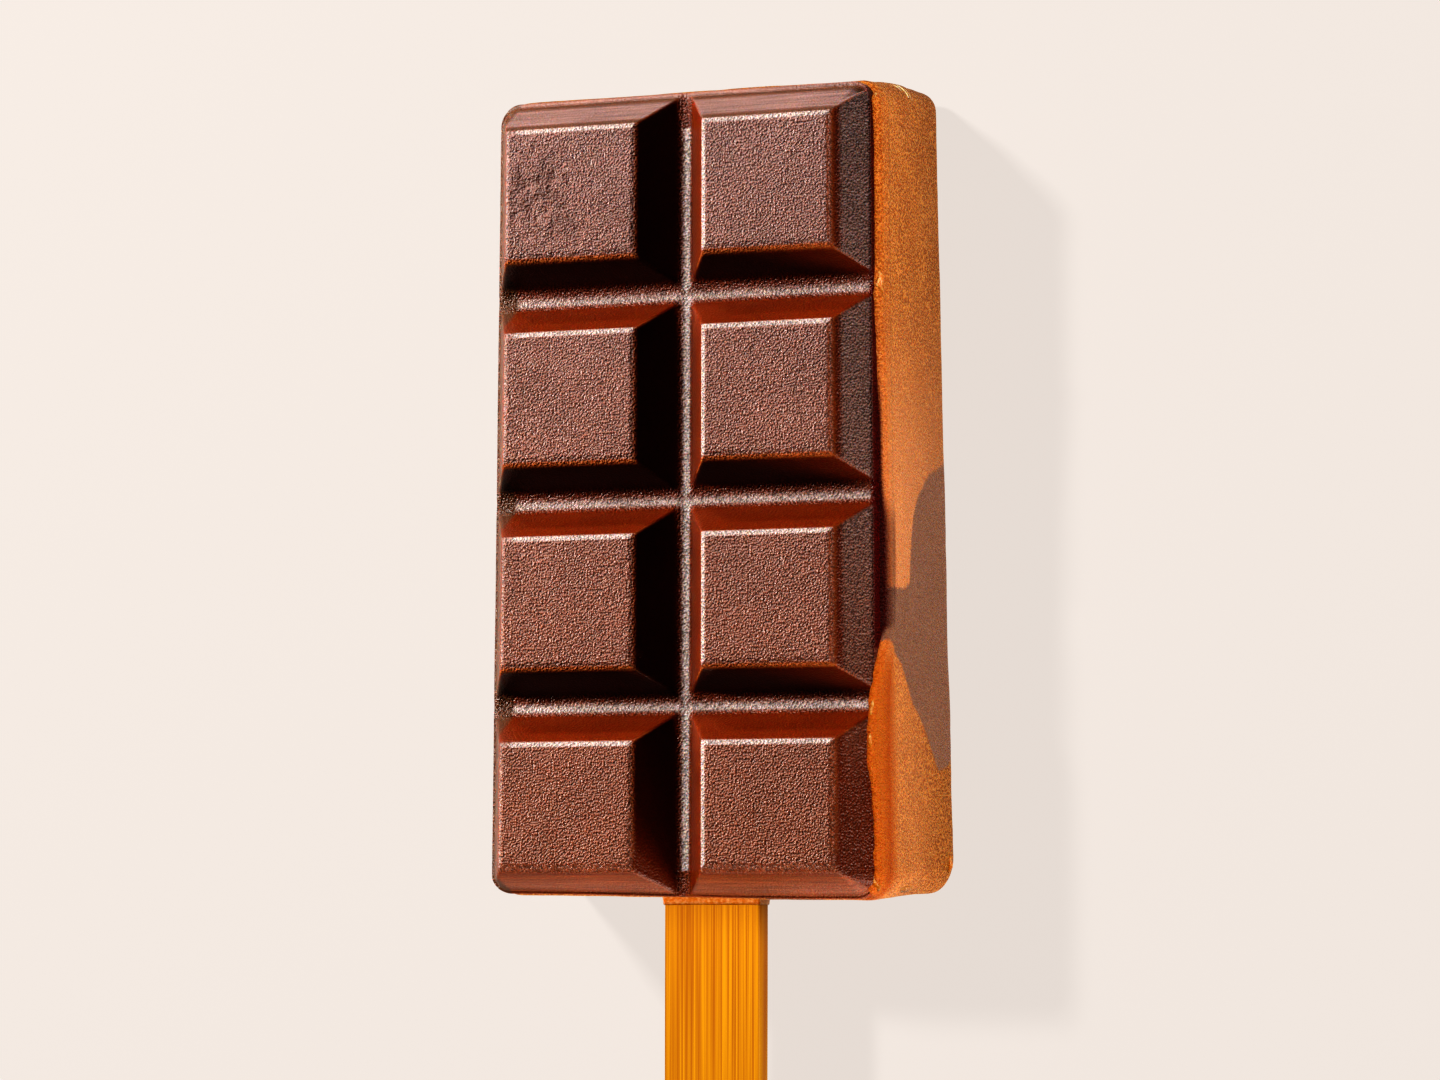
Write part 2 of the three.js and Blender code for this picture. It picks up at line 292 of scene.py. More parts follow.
def heightAcross(x):
    crisp, soft = bar["crispRadius"], bar["softRadius"][0]
    return mouldProfile(x, bar["columns"], bar["pitchX"], segmentsEndX, bar["grooveRadius"][0], [
        (-1, bar["sideSlope"], bar["edgeRightOfGroove"], crisp), (1, bar["sideSlope"], bar["edgeLeftOfGroove"], soft)])


def heightAlong(y):
    crisp, soft = bar["crispRadius"], bar["softRadius"][1]
    return mouldProfile(y, bar["rows"], bar["pitchY"], segmentsEndY, bar["grooveRadius"][1], [
        (-1, bar["footSlope"], bar["edgeAboveGroove"], soft), (1, bar["topSlope"], bar["edgeBelowGroove"], crisp)])


def mouldHeight(x, y):
    across, along = heightAcross(x), heightAlong(y)
    blend = np.maximum(bar["hipSoftness"] - np.abs(across - along), 0)
    onTop = np.minimum(across, along) > bar["relief"] - 0.01
    return np.minimum(across, along) - np.where(onTop, 0, blend**2 / (4 * bar["hipSoftness"]))


def scuffAmount(x, y):
    amount = np.zeros(x.shape)
    for centreX, centreY, radius, strength in chocolate["scuffs"]:
        amount = np.maximum(amount, strength * np.exp(-(((x - centreX) ** 2 + (y - centreY) ** 2) / radius**2)))
    return amount


def riseOf(x, y):
    step = 0.05
    riseX = (mouldHeight(x + step, y) - mouldHeight(x - step, y)) / (2 * step)
    riseY = (mouldHeight(x, y + step) - mouldHeight(x, y - step)) / (2 * step)
    return riseX, riseY


def warmthAndGlowAmount(x, y):
    # painted glow: warm chocolate without bloom on the rounded edges that look down or right, away from the key light,
    # and on the foot slope; the ledges are warmed too
    riseX, riseY = riseOf(x, y)
    level = 1 / np.sqrt(1 + riseX**2 + riseY**2)
    looksAway = np.maximum(smoothRise(0.12, 0.4, riseY), chocolate["rightEdgeGlow"] * smoothRise(0.12, 0.4, -riseX))
    raised = mouldHeight(x, y) > bar["relief"] / 2
    raised = raised * (1 - 0.7 * smoothRise(-segmentsEndY + 2, -segmentsEndY + 1, y))
    onFoot = smoothRise(-0.3, 0.3, heightAcross(x) - heightAlong(y)) * smoothRise(0.2, 0.6, -y - segmentsEndY)
    rims = smoothRise(*chocolate["rimRange"], level) * looksAway * raised
    beyondTop = y - segmentsEndY
    onEnd = smoothRise(-0.3, 0.3, heightAcross(x) - heightAlong(y))
    topLedge, footLedge = smoothRise(3.0, 3.1, beyondTop), smoothRise(2.3, 2.4, -y - segmentsEndY)
    warmTop, warmFoot = chocolate["ledgeWarmth"]
    warmthAndGlow = np.maximum(rims, chocolate["footSlopeGlow"] * onFoot)
    return np.maximum(warmthAndGlow, onEnd * np.maximum(warmTop * topLedge, warmFoot * footLedge))


def paintedHighlightAmount(x, y):
    # painted highlights, whitish, on the lit side of the grooves and on the crisp rims, and faint painted sheen on the
    # outer slopes
    strength = chocolate["paintedHighlight"]
    riseX, riseY = riseOf(x, y)
    across, along = heightAcross(x), heightAlong(y)
    steepness = np.hypot(riseX, riseY)
    level = smoothRise(0.62, 0.33, steepness)
    low = (mouldHeight(x, y) < bar["relief"] / 4) & (np.abs(x) < segmentsEndX + 1.9) & (np.abs(y) < segmentsEndY)
    inUpright = strength["upright"] * smoothRise(-0.5, 0, riseX)
    inAcross = strength["across"] * (1 + 0.3 * smoothRise(10, -20, y)) * smoothRise(0.3, -0.25, riseY)
    paintedHighlight = level * low * np.where(across < along, inUpright, inAcross)
    onSide, onEnd = smoothRise(-0.3, 0.3, along - across), smoothRise(-0.3, 0.3, across - along)
    looksBack = smoothRise(0, 0.25, np.maximum(riseX, -riseY)) * smoothRise(0.25, 0.05, np.maximum(-riseX, riseY))
    turning = smoothRise(0.03, 0.25, steepness) * smoothRise(1.15, 0.8, steepness)
    onRim = looksBack * turning * (mouldHeight(x, y) > bar["relief"] / 2)
    beyondTop = y - segmentsEndY
    for name, amount in (
        ("rims", onRim * (x > -segmentsEndX + 1)),
        ("leftmostRims", onRim),
        ("topSlope", onEnd * smoothRise(0.3, 0.7, beyondTop) * smoothRise(2.8, 2.4, beyondTop)),
        ("rightSlope", onSide * smoothRise(0.4, 0.75, x - segmentsEndX) * smoothRise(-18, 6, y)),
        ("footSlope", onEnd * smoothRise(0.4, 1.8, -y - segmentsEndY) * (-y - segmentsEndY < 2)),
        ("ledges", onEnd * np.maximum(smoothRise(2.9, 3.0, beyondTop), smoothRise(2.3, 2.4, -y - segmentsEndY))),
    ):
        paintedHighlight = np.maximum(paintedHighlight, strength[name] * amount)
    return paintedHighlight


def bloomAndSheenAmount(x, y):
    # pale bloom and painted sheen on the level faces and on the slopes round the outside
    strength = chocolate["bloomAndSheen"]
    raised = mouldHeight(x, y) > bar["relief"] / 2
    riseX, riseY = riseOf(x, y)
    level = smoothRise(*chocolate["levelRange"], 1 / np.sqrt(1 + riseX**2 + riseY**2))
    amount = level * np.where(raised, strength["tops"], strength["grooves"])
    across, along = heightAcross(x), heightAlong(y)
    onSide, onEnd = smoothRise(-0.3, 0.3, along - across), smoothRise(-0.3, 0.3, across - along)
    beyondTop = y - segmentsEndY
    for name, inSlope in (
        ("leftSlope", onSide * smoothRise(0, 0.6, -x - segmentsEndX)),
        ("rightSlope", onSide * smoothRise(0.4, 0.75, x - segmentsEndX) * (0.1 + 0.9 * smoothRise(-28, -14, y))),
        ("topSlope", onEnd * smoothRise(0.3, 0.7, beyondTop) * smoothRise(2.8, 2.4, beyondTop)),
    ):
        amount = np.maximum(amount, strength[name] * inSlope)
    return amount * (1 - warmthAndGlowAmount(x, y))


def skinAmount(x, y):
    # fine grain on the level faces and the right slope, fainter on the other slopes
    riseX, riseY = riseOf(x, y)
    level = smoothRise(0.62, 0.8, 1 / np.sqrt(1 + riseX**2 + riseY**2))
    onLedge = (y - segmentsEndY > bar["topSlope"]) | (-y - segmentsEndY > bar["footSlope"])
    onRight = smoothRise(-0.3, 0.3, heightAlong(y) - heightAcross(x)) * smoothRise(0, 0.6, x - segmentsEndX)
    onRight = onRight * (0.6 + 0.4 * smoothRise(-22, -14, y))
    amount = np.maximum(level * np.where(onLedge, 0, 1), chocolate["skin"]["rightSlope"] * onRight)
    return np.maximum(amount, chocolate["skin"]["slopes"])


def brownAmount(x, y):
    # duller, darker brown: painted shade on the leftmost side, and lines above and below the top slope
    beyondTop = y - segmentsEndY
    onEnd = smoothRise(-0.3, 0.3, heightAcross(x) - heightAlong(y))
    upper = smoothRise(0.05, 0.2, beyondTop) * smoothRise(0.7, 0.4, beyondTop)
    lower = smoothRise(2.3, 2.6, beyondTop) * smoothRise(3.0, 2.85, beyondTop)
    return np.maximum(smoothRise(0.55, 1.0, -x - segmentsEndX), onEnd * (upper + lower))


def streakAmount(x, y):
    # mould streaks along the slopes at both ends
    onEnd = smoothRise(-0.3, 0.3, heightAcross(x) - heightAlong(y))
    return onEnd * smoothRise(0.1, 0.6, np.abs(y) - segmentsEndY)


def gapShadeBeside(x, y, height):
    # painted shade at the right edge's foot, all along the caramel and wider where the caramel is sunk
    sunk = smoothRise(0.4, 1.0, -lipHeight(y))
    wide = sunk * smoothRise(18.0, 18.4, x) * smoothRise(0.6, 0.1, height)
    seam = smoothRise(18.1, 18.42, x) * np.where(y > -14, 0.95, 0.5) * smoothRise(0.9, 0.3, height)
    return np.maximum(wide, seam)


def chocolateRelief(points, scuff):
    wavy = chocolate["waviness"] * softNoise(points, 4.5, 11)
    leather = chocolate["leather"] * softNoise(points, chocolate["leatherSize"], 12)
    worn = softNoise(points, 0.8, 14) + 0.7 * softNoise(points, 0.4, 15)
    return wavy + leather + chocolate["scuffHeight"] * scuff * worn


def buildChocolatePlate():
    rim = chocolate["rimRadius"]
    left, right = -(plateHalfX - rim), chocolate["rightEdge"] - rim
    low, high = plateFoot + rim, plateTop - rim
    step = chocolate["gridStep"]
    across = np.linspace(left, right, round((right - left) / step) + 1)
    along = np.linspace(low, high, round((high - low) / step) + 1)
    mouldX, mouldY = np.meshgrid(across, along)
    x, y, outX, outY = roundCorners(mouldX, mouldY, left, right, low, high, bar["cornerRadius"] - rim)
    height = grooveLevel + mouldHeight(mouldX, mouldY)
    points = np.stack([tapered(x, y, body["frontTaper"]), y + footLift(x, y), height], axis=-1)
    points[..., 2] += chocolateRelief(points, scuffAmount(mouldX, mouldY))
    border = borderOf(points)
    outwards = np.stack([borderOf(outX), borderOf(outY), np.zeros(len(border))], axis=-1)
    roundSteps, sideSteps = 5, 6
    facesRight = np.maximum(outwards[:, 0], 0) ** 2
    roundness = rim * (1 - (1 - chocolate["rightRim"]) * facesRight)
    rings = []
    for k in range(1, roundSteps + 1):
        turn = math.pi / 2 * k / roundSteps
        ring = border + outwards * (roundness * math.sin(turn))[:, None]
        ring[:, 2] -= roundness * (1 - math.cos(turn))
        rings.append(ring)
    for k in range(1, sideSteps + 1):
        part = k / sideSteps
        ring = rings[roundSteps - 1] - outwards * (chocolate["undercut"] * facesRight * part)[:, None]
        ring[:, 2] += (underside - ring[:, 2]) * part
        rings.append(ring)
    plate = addSkin("chocolate_bar_face", points, rings)
    overX, overY = (np.concatenate([grid.ravel()] + [borderOf(grid)] * len(rings)) for grid in (mouldX, mouldY))
    storeValue(plate, "scuff", scuffAmount(overX, overY))
    storeValue(plate, "bloomAndSheen", bloomAndSheenAmount(overX, overY))
    storeValue(plate, "warmthAndGlow", warmthAndGlowAmount(overX, overY))
    storeValue(plate, "paintedHighlight", paintedHighlightAmount(overX, overY))
    storeValue(plate, "gap", gapShadeBeside(overX, overY, barPoints(plate)[:, 2] - grooveLevel))
    storeValue(plate, "skin", skinAmount(overX, overY))
    storeValue(plate, "streaks", streakAmount(overX, overY))
    storeValue(plate, "brown", brownAmount(overX, overY))
    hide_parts("chocolate_plate")
    return plate


# Caramel body
caramel = {
    "step": 0.36,
    "lipRadius": 0.42,
    "lipStandOff": 0.26,
    "lipRootDepth": 0.8,
    "lowerLipRise": 1.0,  # how much higher the lip's root lies along the lowest segment
    "lipHeights": [  # y, and how high over the groove level the caramel meets the chocolate
        (-36.0, 0.6), (-33.8, 0.69), (-28.4, 0.84), (-23.0, 1.4), (-18.9, 1.2), (-14.4, 0.3), (-13.0, -0.6),
        (-11.3, -1.3), (-8.8, -1.15), (-3.2, -1.05), (0.5, -0.7), (5.4, -0.6), (8.1, -0.4), (13.5, 0.05),
        (17.1, 0.35), (20.7, 0.1), (26.0, 0.1), (31.5, 0.15), (36.5, 0.3),
    ],
    "lipFray": 0.1,
    "crevice": 1.2,  # how far the dark gap beside the chocolate reaches in under it
    "swell": 0.09,
    "grain": 0.03,
    "patch": [  # brown patch on the right side as y and way round from front to back, in order
        (3.4, 1.5), (2.6, 3.3), (1.9, 5.8), (-0.1, 8.4), (-2.1, 9.8), (-5.7, 10.6), (-8.2, 10.9),
        (-8.9, 12.4), (-9.0, 20.0), (-12.4, 20.0), (-12.8, 15.8), (-14.9, 12.8), (-18.3, 10.3),
        (-20.1, 8.2), (-22.2, 6.4), (-24.0, 4.9), (-23.7, 3.4), (-22.5, 1.6), (-19.0, -3.5), (-13.0, -7.5),
        (-4.0, -9.5), (2.5, -6.0),
    ],
}


def roundInset(radius, height):
    # how far a round edge draws the side in, at a height above the round's start
    rest = max(0, 1 - height / radius)
    return radius * (1 - math.sqrt(1 - rest * rest))


def bodyOutline(z):
    lean = 1 - z / underside
    inset = roundInset(body["backRadius"], z) + roundInset(body["frontRadius"], underside - z)
    radius = max(0.4, body["cornerRadius"] - body["cornerTaper"] * lean - inset)
    halfX = bodyHalfX - inset - body["sideDraft"] * lean
    low = bodyFoot + inset + body["footDraft"] * lean
    high = bodyTop - inset + body["topBulge"] * smoothRise(0, 0.5, lean)
    loss = body["frontTaper"] + (body["backTaper"] - body["frontTaper"]) * lean
    return halfX, low, high, radius, loss


def bodyGrid(z):
    # columns run from right to left, so that the back face looks outwards
    halfX, low, high, radius, loss = bodyOutline(z)
    steps = [round(2 * bodyHalfX / caramel["step"]), round((bodyTop - bodyFoot) / caramel["step"])]
    cornerSteps = 9
    across = spread(halfX, -halfX, radius, cornerSteps, steps[0])
    along = spread(low, high, radius, cornerSteps, steps[1])
    x, y, outX, outY = roundCorners(*np.meshgrid(across, along), -halfX, halfX, low, high, radius)
    narrowing = body["footNarrowing"] * smoothRise(0, 0.5, 1 - z / underside) * smoothRise(low + 2.9, low + 0.6, y)
    x, y = x * (1 - narrowing / halfX), y + footLift(x, y)
    points = np.stack([tapered(x, y, loss), y, np.full(x.shape, z)], axis=-1)
    return points, np.stack([outX, outY, np.zeros(x.shape)], axis=-1)


def lipHeight(y):
    # given heights, joined with soft turns
    places, heights = zip(*caramel["lipHeights"])
    shifts = np.linspace(-1.2, 1.2, 9)
    return sum(np.interp(y + shift, places, heights) for shift in shifts) / len(shifts)


def lipSection(y):
    # the lip's profile at each y, from the body's side over its nose and down into the crevice
    radius = caramel["lipRadius"]
    height = lipHeight(y) - 0.6 * radius
    spot = np.stack([np.full(y.shape, 3.0), y, np.zeros(y.shape)], axis=-1)
    ragged = softNoise(spot, 0.7, 21) + 0.6 * softNoise(spot, 0.3, 22)
    height = height + caramel["lipFray"] * ragged * smoothRise(-1.1, 0, height)
    footX = plateHalfX - bar["sideLedge"] + caramel["lipStandOff"]
    noseX = footX - np.maximum(0, height) * bar["sideSlope"] / bar["relief"]
    noseZ = grooveLevel + height
    low = underside - caramel["lipRootDepth"]
    rootZ = low + caramel["lowerLipRise"] * smoothRise(-14, -18, y)
    lean = np.arctan2(noseZ - rootZ, noseX - footX)
    outSteps, noseSteps, inSteps = 4, 7, 3
    section = []
    for k in range(outSteps):
        part = k / outSteps
        section.append((footX + (noseX - footX) * part + radius * np.sin(lean),
                        rootZ + (noseZ - rootZ) * part - radius * np.cos(lean)))
    for k in range(noseSteps + 1):
        turn = lean + math.pi * (k / noseSteps - 0.5)
        section.append((noseX + radius * np.cos(turn), noseZ + radius * np.sin(turn)))
    for k in range(1, inSteps + 1):
        part = 1 - k / inSteps
        section.append((footX + (noseX - footX) * part - radius * np.sin(lean),
                        rootZ + (noseZ - rootZ) * part + radius * np.cos(lean)))
    section.append((footX - radius - caramel["crevice"], np.full(y.shape, low + 0.1)))
    section.append((footX - radius - caramel["crevice"] - 0.6, np.full(y.shape, underside - 0.02)))
    return section


def polygonDistance(u, v, corners):
    # distance to a closed outline, positive inside
    nearest = np.full(u.shape, 1e9)
    inside = np.zeros(u.shape, bool)
    for (u0, v0), (u1, v1) in zip(corners, corners[1:] + corners[:1]):
        du, dv = u1 - u0, v1 - v0
        part = np.clip(((u - u0) * du + (v - v0) * dv) / (du * du + dv * dv), 0, 1)
        nearest = np.minimum(nearest, np.hypot(u - u0 - part * du, v - v0 - part * dv))
        crosses = (v0 > v) != (v1 > v)
        inside ^= crosses & (u < u0 + du * (v - v0) / (dv if dv else 1e-9))
    return np.where(inside, nearest, -nearest)


def marblingDistance(points):
    # above zero where the caramel is brown: the patch on the right side, and swirls on the hidden sides
    halfX = tapered(bodyHalfX, points[:, 1], body["frontTaper"])
    wayRound = points[:, 2] - (halfX - points[:, 0])
    patch = polygonDistance(points[:, 1], wayRound, caramel["patch"])
    swirl = 3.2 * (softNoise(points, (11, 17, 8), 31) + 0.35 * softNoise(points, (4, 6, 3), 32) - 0.42)
    hidden = smoothRise(-15.5, -12.5, -points[:, 0])
    return np.maximum(patch, np.where(hidden > 0, swirl - 4 * (1 - hidden), -4))


def gapShadeAmount(points):
    # painted shade: one in the gap on the right of the chocolate, where the caramel is sunk
    sunk = smoothRise(0.1, 0.5, -lipHeight(points[:, 1])) * (points[:, 0] > 15)
    deepest = smoothRise(0.6, 1.1, -lipHeight(points[:, 1]))
    farEdge = 19.25 + 0.85 * deepest
    height = points[:, 2] - grooveLevel
    return sunk * smoothRise(0, -1, (points[:, 0] - farEdge) / (0.55 + 0.5 * deepest)) * smoothRise(-2.6, -2.1, height)


def paintedLightAmount(points):
    # painted light: paler caramel round the brown patch on the right side, over its upper and middle part and towards
    # the front further down
    x, y, z = points[:, 0], points[:, 1], points[:, 2]
    return smoothRise(10, 17, x) * smoothRise(22, -4, y) * np.maximum(smoothRise(-16, -12, y), 0.35 * smoothRise(4, 11, z))


def creaseShadeAmount(points):
    # painted shade in the crease between the side and the lower lip
    depth = points[:, 2] - (underside + 0.1)
    return np.exp(-((depth / 0.9) ** 2)) * smoothRise(-13, -18, points[:, 1]) * (points[:, 0] > 17)


def bodyRelief(points):
    return caramel["swell"] * softNoise(points, 6.5, 23) + caramel["grain"] * softNoise(points, 1.3, 24)


def buildCaramelBody():
    backRadius, frontRadius = body["backRadius"], body["frontRadius"]
    back, outBack = bodyGrid(0)
    back[..., 2] += 0.06 * (1 + softNoise(back, (3.5, 5, 5), 25)) * smoothRise(0.5, 3, bodyHalfX - np.abs(back[..., 0]))
    roundSteps = 11
    levels = [backRadius * (1 - math.cos(math.pi / 2 * k / roundSteps)) for k in range(1, roundSteps + 1)]
    sideTop = underside - frontRadius
    sideSteps = round((sideTop - backRadius) / caramel["step"])
    levels += np.linspace(backRadius, sideTop, sideSteps + 1)[1:].tolist()
    rings = []
    for z in levels:
        points, outwards = bodyGrid(z)
        ring, out = borderOf(points), borderOf(outwards)
        ring = ring + out * (bodyRelief(ring) * smoothRise(0, backRadius, z))[:, None]
        rings.append(ring)
    sideRing, sideOut = rings[-1], out
    outline = borderOf(bodyGrid(sideTop)[0])
    straightX = bodyOutline(sideTop)[0]
    y = sideRing[:, 1]
    inRange = smoothRise(bodyTop - 0.3, bodyTop - 2.2, y)
    reach = np.where(y < 0, smoothRise(0.2, 0.6, sideOut[:, 0]), smoothRise(0.6, 1.0, sideOut[:, 0]))
    onRight = (reach * inRange)[:, None]
    section = lipSection(y)
    for k, (lipX, lipZ) in enumerate(section):
        turn = min(1, (k + 1) / 8) * math.pi / 2
        inwards = frontRadius * (1 - math.cos(turn)) + 0.18 * max(0, k - 7)
        plain = sideRing - sideOut * inwards
        plain[:, 2] = min(sideTop + frontRadius * math.sin(turn), underside - 0.02)
        lip = outline - sideOut * np.reshape(straightX - lipX, (-1, 1))
        lip[:, 2] = lipZ
        rings.append(plain * (1 - onRight) + lip * onRight)
    piece = addSkin("caramel_slab", back, rings)
    made = barPoints(piece)
    storeValue(piece, "marbling", marblingDistance(made))
    storeValue(piece, "gap", gapShadeAmount(made))
    storeValue(piece, "pale", paintedLightAmount(made))
    storeValue(piece, "creaseShade", creaseShadeAmount(made))
    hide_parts("caramel_body")
    return piece


# Caramel that has crept a little way down round the stick
collar = {"gap": 0.05, "thickness": 0.16, "reach": 0.9, "length": 0.27, "root": 1.6}


def buildCollar():
    halfX = (stickHigh.x - stickLow.x) / 2
    halfZ = (stickHigh.z - stickLow.z) / 2
    middleZ = (stickHigh.z + stickLow.z) / 2
    turns = 96
    angle = np.arange(turns) / turns * 2 * math.pi
    rings = []

    def ringAt(reach, y):
        # rounded rectangle round the stick's section, drawn as a circle stretched at its corners
        width, depth = halfX + reach, halfZ + reach
        radius = min(reach + 0.3, depth)
        cornerX = (width - radius) * np.sign(np.cos(angle)) * np.minimum(1, np.abs(np.cos(angle)) * 6)
        cornerZ = (depth - radius) * np.sign(np.sin(angle)) * np.minimum(1, np.abs(np.sin(angle)) * 1.5)
        x = cornerX + radius * np.cos(angle)
        z = cornerZ + radius * np.sin(angle)
        return np.stack([x, np.full(turns, y), middleZ + z], axis=-1)

    outSteps = 8
    for k in range(outSteps + 1):
        turn = math.pi / 2 * k / outSteps
        reach = collar["thickness"] + (collar["reach"] - collar["thickness"]) * (1 - math.sin(turn))
        rings.append(ringAt(reach, bodyFoot + collar["root"] - (collar["root"] + collar["length"]) * k / outSteps))
    rings.append(ringAt(collar["gap"], bodyFoot - collar["length"] - 0.08))
    rings.append(ringAt(collar["gap"], bodyFoot + collar["root"] + 1))
    rings.append(ringAt(collar["reach"], bodyFoot + collar["root"] + 1))
    points = np.concatenate(rings)
    wobble = 0.06 * softNoise(points, 1.2, 41)
    points[:, 1] += wobble
    count = len(rings)
    number = np.arange(count * turns).reshape(count, turns)
    nextRing = np.roll(number, -1, axis=0)
    faces = np.stack([number, nextRing, np.roll(nextRing, -1, axis=1), np.roll(number, -1, axis=1)], axis=-1)
    piece = addPiece("caramel_collar", points, faces.reshape(-1, 4)[:, ::-1].tolist())
    storeValue(piece, "pale", np.full(len(points), 0.12))
    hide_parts("caramel_body")
    return piece


# Lumps, flakes and pulled threads that lie on the caramel
crumbs = {
    # both ends in the bar's millimetres, half width, height, and how pale it is
    "runs": [
        ((18.0, 38.2, 9.9), (18.8, 36.4, 9.3), 0.13, 0.09, 0.9),
        ((18.0, 38.2, 10.9), (18.6, 37.1, 10.3), 0.08, 0.07, 0.7),
        ((18.4, 37.7, 8.9), (19.0, 36.3, 8.6), 0.07, 0.06, 0.6),
        ((18.2, 37.0, 17.2), (18.6, 36.0, 17.1), 0.12, 0.08, 0.2),
        ((19.0, 19.7, 17.1), (19.0, 17.7, 17.1), 0.22, 0.2, 0.15),
        ((19.0, 19.0, 17.3), (18.95, 18.2, 17.3), 0.1, 0.24, 0.5),
        ((18.9, -18.6, 18.3), (18.7, -20.0, 18.5), 0.14, 0.1, 0.15),
        ((18.7, -21.6, 18.6), (18.75, -22.8, 18.6), 0.14, 0.1, 0.1),
        ((18.8, -34.1, 17.6), (19.0, -35.6, 17.2), 0.2, 0.12, 0.05),
        ((19.1, -35.4, 12.2), (19.2, -35.6, 9.0), 0.34, 0.16, 0.05),
        ((19.5, -32.1, 2.9), (19.45, -33.6, 2.8), 0.26, 0.26, 0.0),
    ],
    "steps": 16,
    "turns": 10,
    "raggedness": 0.3,
}


def buildCrumbs(slab):
    corners = [vertex.co.copy() for vertex in slab.data.vertices]
    surface = BVHTree.FromPolygons(corners, [list(face.vertices) for face in slab.data.polygons])
    steps, turns = crumbs["steps"], crumbs["turns"]
    angle = np.arange(turns) / turns * 2 * math.pi
    points, faces, paleness = [], [], []
    for start, end, halfWidth, height, pale in crumbs["runs"]:
        along = np.array(end) - np.array(start)
        first = sum(len(part) for part in points)
        for k in range(steps + 1):
            middle = np.array(start) + along * k / steps
            place, facing = surface.find_nearest(Vector((middle + [0, crossingY, 0]) * mm))[:2]
            place = np.array(place) / mm - [0, crossingY, 0]
            across = np.cross(facing, along)
            across /= np.linalg.norm(across)
            size = math.sin(math.pi * (0.02 + 0.96 * k / steps)) ** 0.6
            ring = (place + across * (halfWidth * size * np.cos(angle))[:, None]
                    + np.array(facing) * (height * size * np.sin(angle))[:, None])
            away = ring - place
            points.append(ring + away * (crumbs["raggedness"] * softNoise(ring, 0.25, 61))[:, None])
        number = first + np.arange((steps + 1) * turns).reshape(steps + 1, turns)
        beside = np.roll(number, -1, axis=1)
        faces += np.stack([number[:-1], beside[:-1], beside[1:], number[1:]], axis=-1).reshape(-1, 4).tolist()
        faces += [number[0, ::-1].tolist(), number[-1].tolist()]
        paleness += [pale] * number.size
    piece = addPiece("caramel_crumbs", np.concatenate(points), faces)
    storeValue(piece, "pale", paleness)
    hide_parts("caramel_body")
    return piece


# Flat wooden stick
stick = {"edgeRadius": 0.35, "acrossStep": 0.16, "alongStep": 0.5, "grain": 0.014}


def buildStick():
    edge = stick["edgeRadius"]
    left, right = stickLow.x + edge, stickHigh.x - edge
    low, high = stickLow.y - crossingY + edge, stickHigh.y - crossingY - edge
    radius = (right - left) / 2 - 0.01
    cornerSteps = 24
    across = spread(left, right, radius, cornerSteps, 2)
    along = spread(low, high, radius, cornerSteps, round((high - low - 2 * radius) / stick["alongStep"]))
    x, y, outX, outY = roundCorners(*np.meshgrid(across, along), left, right, low, high, radius)
    flat = np.stack([x, y, np.zeros(x.shape)], axis=-1)
    fibres = stick["grain"] * (softNoise(flat, (0.3, 14, 1), 51) + 0.6 * softNoise(flat, (0.9, 30, 1), 52))
    top = flat + [0, 0, stickHigh.z - 0.02]
    bottom = flat + [0, 0, stickLow.z + 0.02]
    top[..., 2] += fibres
    bottom[..., 2] -= fibres[:, ::-1]
    outwards = np.stack([borderOf(outX), borderOf(outY), np.zeros(len(borderOf(outX)))], axis=-1)
    rings = []
    roundSteps = 5
    for k in range(1, roundSteps + 1):
        turn = math.pi / 2 * k / roundSteps
        ring = borderOf(top) + outwards * edge * math.sin(turn)
        ring[:, 2] -= edge * (1 - math.cos(turn))
        rings.append(ring)
    for k in range(roundSteps, -1, -1):
        turn = math.pi / 2 * k / roundSteps
        ring = borderOf(bottom) + outwards * edge * math.sin(turn)
        ring[:, 2] += edge * (1 - math.cos(turn))
        rings.append(ring)
    piece = addSkin("wooden_stick", top, rings, bottom)
    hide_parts("stick")
    return piece


# Materials
def newMaterial(name):
    material = bpy.data.materials.new(name)
    material.use_nodes = True
    tree = material.node_tree
    shader = tree.nodes["Principled BSDF"]
    return material, tree, shader


def addNode(tree, kind, inputs=None, **settings):
    node = tree.nodes.new(kind)
    for key, value in settings.items():
        setattr(node, key, value)
    for key, value in (inputs or {}).items():
        if isinstance(value, bpy.types.NodeSocket):
            tree.links.new(value, node.inputs[key])
        else:
            node.inputs[key].default_value = value
    return node


def placeOf(tree, stretch=(1, 1, 1)):
    # position on the bar in millimetres, squeezed along each axis by stretch
    coordinates = addNode(tree, "ShaderNodeTexCoord")
    scale = [1 / mm / s for s in stretch]
    return addNode(tree, "ShaderNodeMapping", {"Vector": coordinates.outputs["Object"], "Scale": scale}).outputs[0]


def noiseOf(tree, place, size, detail=2.0, roughness=0.5):
    inputs = {"Vector": place, "Scale": 1 / size, "Detail": detail, "Roughness": roughness}
    return addNode(tree, "ShaderNodeTexNoise", inputs).outputs["Fac"]


def rampOf(tree, value, stops):
    node = addNode(tree, "ShaderNodeValToRGB", {"Fac": value})
    ramp = node.color_ramp
    while len(ramp.elements) < len(stops):
        ramp.elements.new(0.5)
    for element, (position, colour) in zip(ramp.elements, stops):
        element.position = position
        element.color = (*colour, 1)
    return node.outputs["Color"]


def rangeOf(tree, value, low, high, toLow=0.0, toHigh=1.0):
    inputs = {"Value": value, "From Min": low, "From Max": high, "To Min": toLow, "To Max": toHigh}
    return addNode(tree, "ShaderNodeMapRange", inputs).outputs["Result"]


def mathOf(tree, operation, first, second):
    return addNode(tree, "ShaderNodeMath", {0: first, 1: second}, operation=operation).outputs[0]


